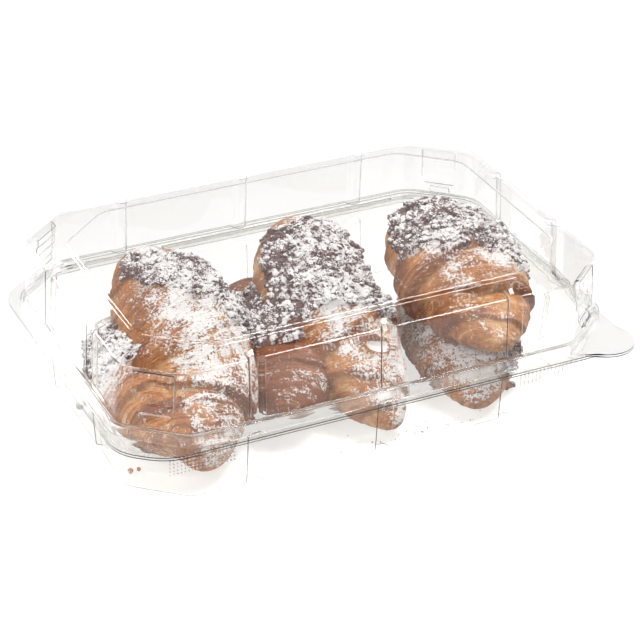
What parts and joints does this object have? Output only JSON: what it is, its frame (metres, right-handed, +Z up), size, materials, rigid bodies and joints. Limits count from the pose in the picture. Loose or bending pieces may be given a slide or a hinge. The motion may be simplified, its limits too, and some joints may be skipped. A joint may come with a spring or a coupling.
{
  "type": "boxed croissants",
  "caption": "Rolled croissants with dark crumb toppings, stacked in a clear hinged clamshell box with a thumb tab.",
  "frame": {"origin": "middle of the tray's underside", "axes": "+X along the long side, -Y to the front where the lid opens, +Y to the hinge side, +Z up"},
  "size_m": [0.287, 0.2055, 0.077],
  "materials": {
    "clear_plastic": "gloss",
    "pastry": "matte",
    "crumb": "matte"
  },
  "bodies": {
    "tray": {"tray": "clear_plastic", "hinge_strip": "clear_plastic", "croissant_bottom_left": "pastry", "croissant_bottom_middle": "pastry", "croissant_bottom_right": "pastry", "croissant_top_left": "pastry", "croissant_top_middle": "pastry", "croissant_top_right": "pastry", "crumbs_bottom_left": "crumb", "crumbs_bottom_middle": "crumb", "crumbs_bottom_right": "crumb", "crumbs_top_left": "crumb", "crumbs_top_middle": "crumb", "crumbs_top_right": "crumb"},
    "lid": {"lid": "clear_plastic"}
  },
  "joints": [
    {"name": "lid_hinge", "type": "hinge", "parent": "tray", "child": "lid", "pos_m": [0, 0.1007, 0.0325], "axis": [-1, 0, 0], "range_deg": [0, 155]}
  ]
}
